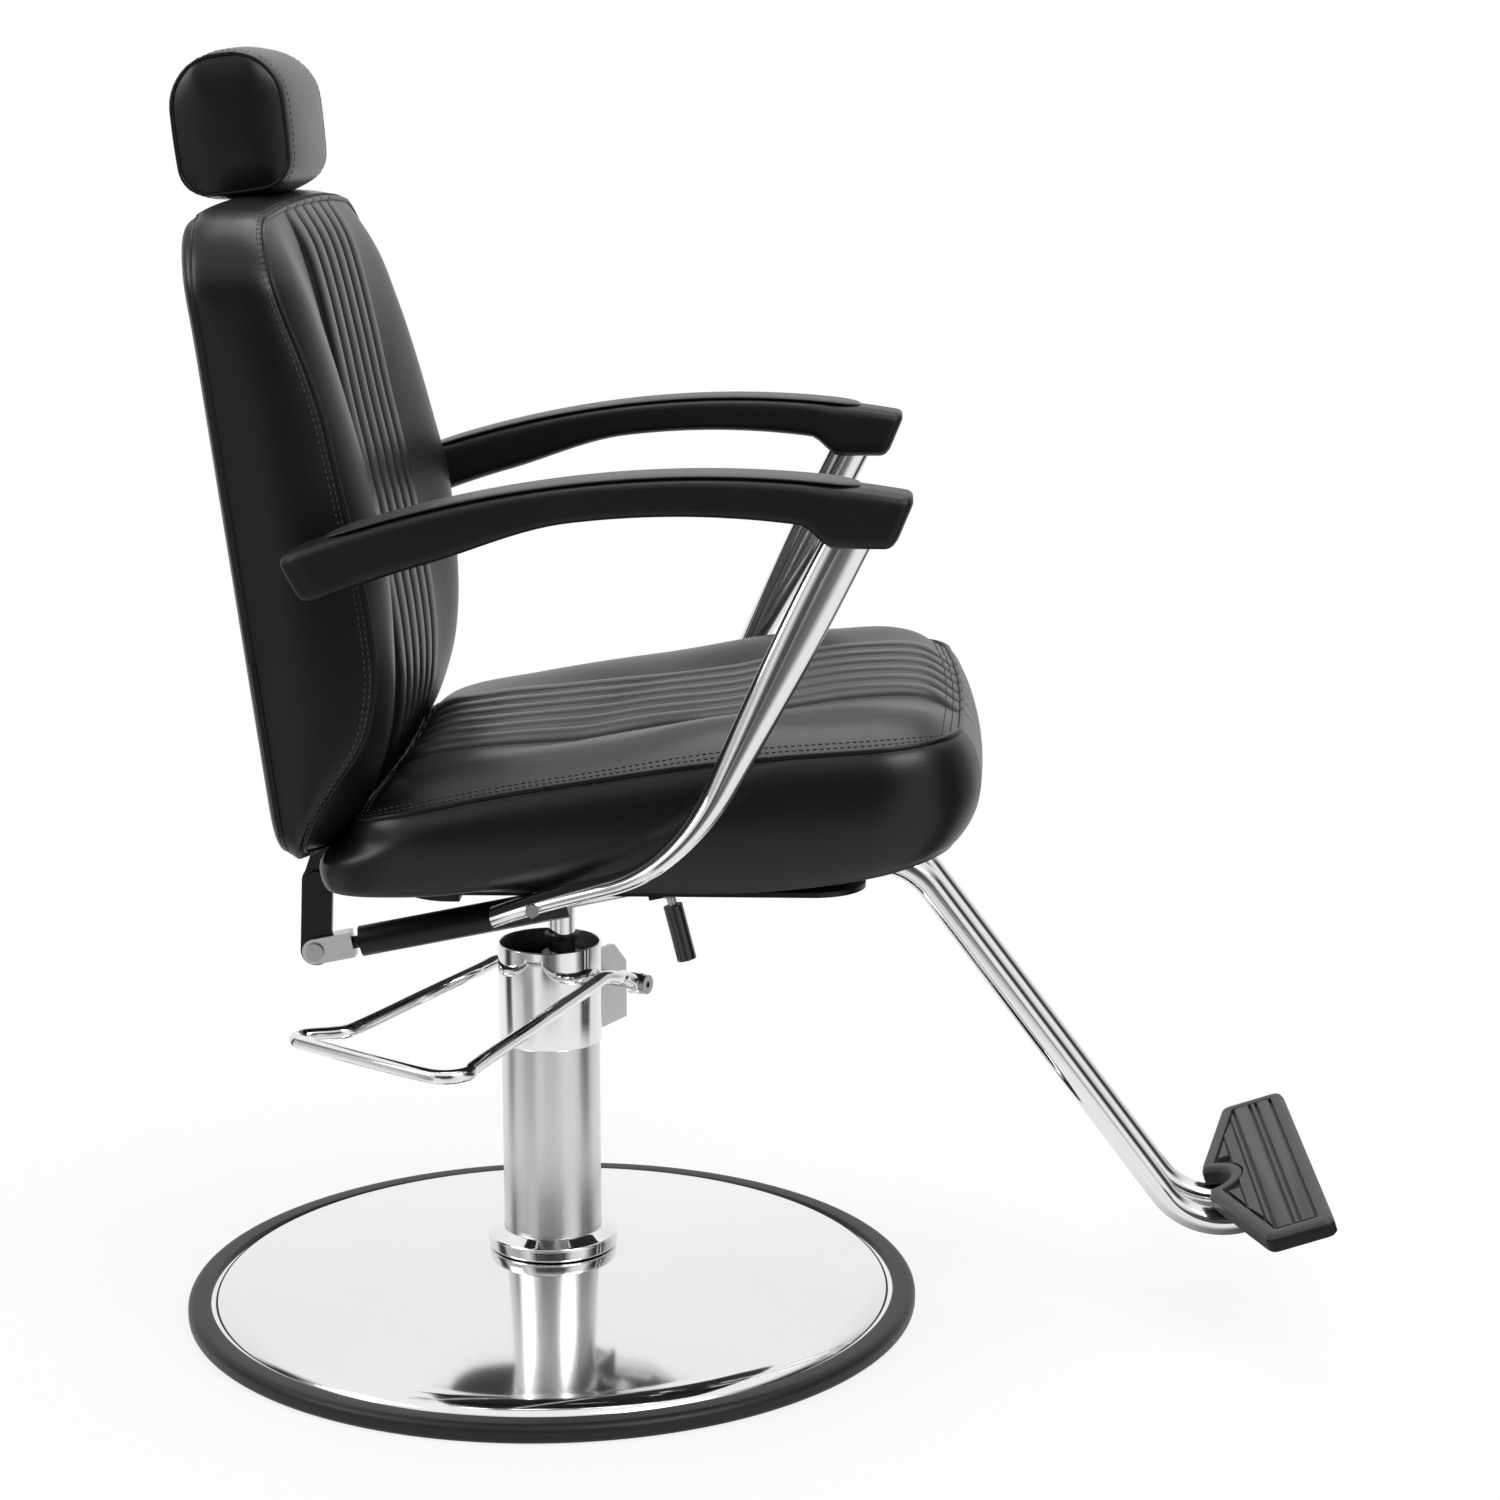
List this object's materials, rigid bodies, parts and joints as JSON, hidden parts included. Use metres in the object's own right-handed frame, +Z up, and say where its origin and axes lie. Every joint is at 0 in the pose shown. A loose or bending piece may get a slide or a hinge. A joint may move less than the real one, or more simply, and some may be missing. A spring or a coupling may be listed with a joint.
{
  "type": "styling chair",
  "caption": "Reclining styling chair on a round pump base: channelled seat and back, sliding headrest, curved armrests, tube footrest and locking strut.",
  "frame": {"origin": "middle of the base's underside on the floor, on the pump's axis", "axes": "+Z up; the sitter faces -Y; +X is the sitter's left"},
  "size_m": [0.6234, 0.9224, 1.0135],
  "materials": {
    "base_chrome": "polished",
    "chrome": "polished",
    "brushed": "satin",
    "steel": "satin",
    "ballast": "matte",
    "trim_rubber": "satin",
    "seal_rubber": "matte",
    "black_metal": "satin",
    "zinc": "satin",
    "cushion": "satin",
    "shell": "satin",
    "board": "matte",
    "arm_plastic": "satin",
    "arm_pad": "matte",
    "foot_plastic": "satin",
    "grip": "gloss"
  },
  "bodies": {
    "stand": {"base_ballast": "ballast", "base_cover": "base_chrome", "base_edge_trim": "trim_rubber", "base_collar": "chrome", "base_bolts": "steel", "pump_tube": "brushed", "pump_sleeve": "chrome", "ram_cylinder": "steel", "ram_guide": "black_metal", "pump_bracket": "chrome", "plunger_block": "steel"},
    "pedal": {"pedal_bar": "chrome", "pedal_shaft": "steel", "pedal_end_bolts": "steel"},
    "plunger": {"pump_plunger": "steel"},
    "lift": {"ram_piston": "steel", "piston_seal": "seal_rubber"},
    "seat": {"ram": "chrome", "ram_ring": "seal_rubber", "seat_mount": "black_metal", "seat_board": "board", "seat_cushion": "cushion", "arm_tube_right": "chrome", "arm_tube_left": "chrome", "armrest_right": "arm_plastic", "armrest_left": "arm_plastic", "armrest_pad_right": "arm_pad", "armrest_pad_left": "arm_pad", "arm_bolts": "steel", "footrest_tube_right": "chrome", "footrest_tube_left": "chrome", "footrest_clamp": "black_metal", "footrest_bolts": "steel", "footrest_bracket": "black_metal", "footrest_plate": "foot_plastic", "seat_hinge_right": "black_metal", "seat_hinge_left": "black_metal", "hinge_pins": "steel", "strut_front_bracket": "black_metal", "strut_front_pin": "steel"},
    "back": {"back_lever_right": "black_metal", "back_lever_left": "black_metal", "back_shell": "shell", "back_cushion": "cushion", "headrest_guides": "steel"},
    "headrest": {"headrest_frame": "steel", "headrest_cushion": "cushion"},
    "strut": {"strut_cylinder": "black_metal", "strut_clevis": "zinc", "strut_pin": "steel"},
    "strut_rod": {"strut_rod": "chrome", "release_head": "black_metal"},
    "release": {"release_lever": "steel", "release_grip": "grip"}
  },
  "joints": [
    {"name": "lift", "type": "slide", "parent": "stand", "child": "lift", "axis": [0, 0, 1], "range_m": [0, 0.15]},
    {"name": "swivel", "type": "hinge", "parent": "lift", "child": "seat", "pos_m": [0, -0.01, 0.3], "axis": [0, 0, 1], "continuous": true},
    {"name": "recline", "type": "hinge", "parent": "seat", "child": "back", "pos_m": [0, 0.169, 0.383], "axis": [-1, 0, 0], "range_deg": [0, 35]},
    {"name": "headrest_slide", "type": "slide", "parent": "back", "child": "headrest", "axis": [0, 0.1271, 0.9919], "range_m": [0, 0.08]},
    {"name": "strut_swing", "type": "hinge", "parent": "back", "child": "strut", "pos_m": [-0.11, 0.1715, 0.327], "axis": [1, 0, 0], "range_deg": [0, 35.2]},
    {"name": "strut_stroke", "type": "slide", "parent": "strut", "child": "strut_rod", "axis": [0, 0.9801, -0.1985], "range_m": [0, 0.0338]},
    {"name": "release_pull", "type": "hinge", "parent": "seat", "child": "release", "pos_m": [-0.135, -0.105, 0.383], "axis": [1, 0, 0], "range_deg": [0, 25], "stiffness_Nm_per_rad": 0.3, "springref_deg": -5.73},
    {"name": "pedal_press", "type": "hinge", "parent": "stand", "child": "pedal", "pos_m": [0.05298, -0.02817, 0.262], "axis": [-0.4695, -0.8829, 0], "range_deg": [0, 20], "stiffness_Nm_per_rad": 10, "springref_deg": -6.88},
    {"name": "plunger_stroke", "type": "slide", "parent": "stand", "child": "plunger", "axis": [0, 0, -1], "range_m": [0, 0.0045]}
  ],
  "couplings": [
    {"joint": "strut_swing", "follows": "recline", "ratio": 1.0018},
    {"joint": "strut_stroke", "follows": "recline", "m_per_rad": 0.0552},
    {"joint": "plunger_stroke", "follows": "pedal_press", "m_per_rad": 0.0125}
  ]
}
